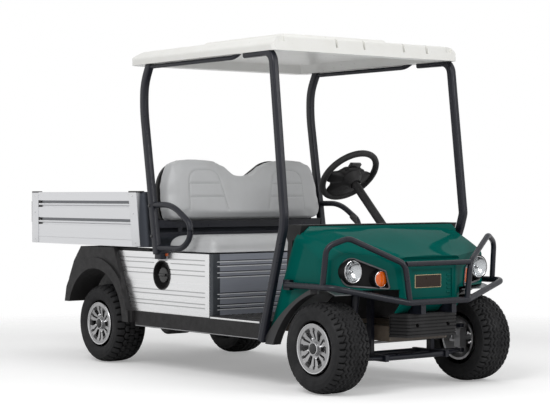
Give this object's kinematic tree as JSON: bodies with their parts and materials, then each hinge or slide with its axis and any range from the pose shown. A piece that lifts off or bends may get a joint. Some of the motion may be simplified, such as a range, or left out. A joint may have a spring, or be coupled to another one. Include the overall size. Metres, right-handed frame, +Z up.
{
  "type": "turf utility vehicle",
  "caption": "Two-seat turf utility vehicle with an aluminium tilting cargo bed and drop tailgate, canopy on tube struts, brush guard and steered front wheels.",
  "frame": {"origin": "on the ground below the middle of the overall box", "axes": "+X forward, +Y the vehicle's left, +Z up"},
  "size_m": [3.14, 1.307, 1.872],
  "materials": {
    "tyre": "matt",
    "rim": "machined",
    "steel_black": "powder coat",
    "steel_bare": "satin",
    "aluminium_panel": "anodised, ribbed",
    "plastic_black": "grained",
    "body_green": "gloss metallic",
    "roof_white": "satin",
    "vinyl_grey": "satin grain",
    "lamp_clear": "clear",
    "engine_iron": "cast",
    "frame_bronze": "satin"
  },
  "bodies": {
    "chassis": {"frame_rails": "frame_bronze", "crossmembers": "frame_bronze", "seat_deck": "steel_black", "front_suspension": "steel_black", "rear_axle": "engine_iron", "engine": "engine_iron", "floor_pan": "plastic_black", "side_panel_left": "aluminium_panel", "side_panel_right": "aluminium_panel", "heel_panel": "aluminium_panel", "filler_cap": "plastic_black", "rear_fender_left": "plastic_black", "rear_fender_right": "plastic_black", "seat_cushion": "vinyl_grey", "seat_back": "vinyl_grey", "seat_shell": "plastic_black", "seat_frame": "steel_black", "front_strut_left": "steel_black", "front_strut_right": "steel_black", "rear_strut_left": "steel_black", "rear_strut_right": "steel_black", "canopy": "roof_white", "cowl": "body_green", "dash": "plastic_black", "steering_column": "plastic_black", "pedals": "steel_black", "lamp_bezels": "plastic_black", "lamps": "lamp_clear", "wheel_arches": "plastic_black", "front_bumper": "plastic_black", "brush_guard": "steel_black"},
    "knuckle_left": {"knuckle_left": "steel_bare"},
    "knuckle_right": {"knuckle_right": "steel_bare"},
    "tie_rod": {"tie_rod": "steel_bare"},
    "steering_wheel": {"steering_wheel": "plastic_black"},
    "bed": {"cargo_bed": "aluminium_panel"},
    "tailgate": {"tailgate": "aluminium_panel"},
    "wheel_front_left": {"tyre_front_left": "tyre", "rim_front_left": "rim"},
    "wheel_front_right": {"tyre_front_right": "tyre", "rim_front_right": "rim"},
    "wheel_rear_left": {"tyre_rear_left": "tyre", "rim_rear_left": "rim"},
    "wheel_rear_right": {"tyre_rear_right": "tyre", "rim_rear_right": "rim"}
  },
  "joints": [
    {"name": "steer_left", "type": "hinge", "parent": "chassis", "child": "knuckle_left", "pos_m": [1.264, 0.43, 0.233], "axis": [0, 0, 1], "range_deg": [-28, 28]},
    {"name": "steer_right", "type": "hinge", "parent": "chassis", "child": "knuckle_right", "pos_m": [1.264, -0.43, 0.233], "axis": [0, 0, 1], "range_deg": [-28, 28]},
    {"name": "tie_rod_swing", "type": "hinge", "parent": "knuckle_left", "child": "tie_rod", "pos_m": [1.199, 0.43, 0.234], "axis": [0, 0, 1], "range_deg": [-28, 28]},
    {"name": "steering_wheel_turn", "type": "hinge", "parent": "chassis", "child": "steering_wheel", "pos_m": [0.486, 0.31, 1.116], "axis": [-0.7133, 0, 0.7009], "range_deg": [-336, 336]},
    {"name": "bed_tilt", "type": "hinge", "parent": "chassis", "child": "bed", "pos_m": [-1.25, 0, 0.64], "axis": [0, -1, 0], "range_deg": [0, 45]},
    {"name": "tailgate_drop", "type": "hinge", "parent": "bed", "child": "tailgate", "pos_m": [-1.557, 0, 0.753], "axis": [0, -1, 0], "range_deg": [0, 90]},
    {"name": "spin_front_left", "type": "hinge", "parent": "knuckle_left", "child": "wheel_front_left", "pos_m": [1.264, 0.499, 0.233], "axis": [0, 1, 0], "continuous": true},
    {"name": "spin_front_right", "type": "hinge", "parent": "knuckle_right", "child": "wheel_front_right", "pos_m": [1.264, -0.499, 0.233], "axis": [0, 1, 0], "continuous": true},
    {"name": "spin_rear_left", "type": "hinge", "parent": "chassis", "child": "wheel_rear_left", "pos_m": [-0.81, 0.47, 0.233], "axis": [0, 1, 0], "continuous": true},
    {"name": "spin_rear_right", "type": "hinge", "parent": "chassis", "child": "wheel_rear_right", "pos_m": [-0.81, -0.47, 0.233], "axis": [0, 1, 0], "continuous": true}
  ],
  "couplings": [
    {"joint": "steer_right", "follows": "steer_left", "ratio": 1},
    {"joint": "tie_rod_swing", "follows": "steer_left", "ratio": -1},
    {"joint": "steering_wheel_turn", "follows": "steer_left", "ratio": 12}
  ]
}
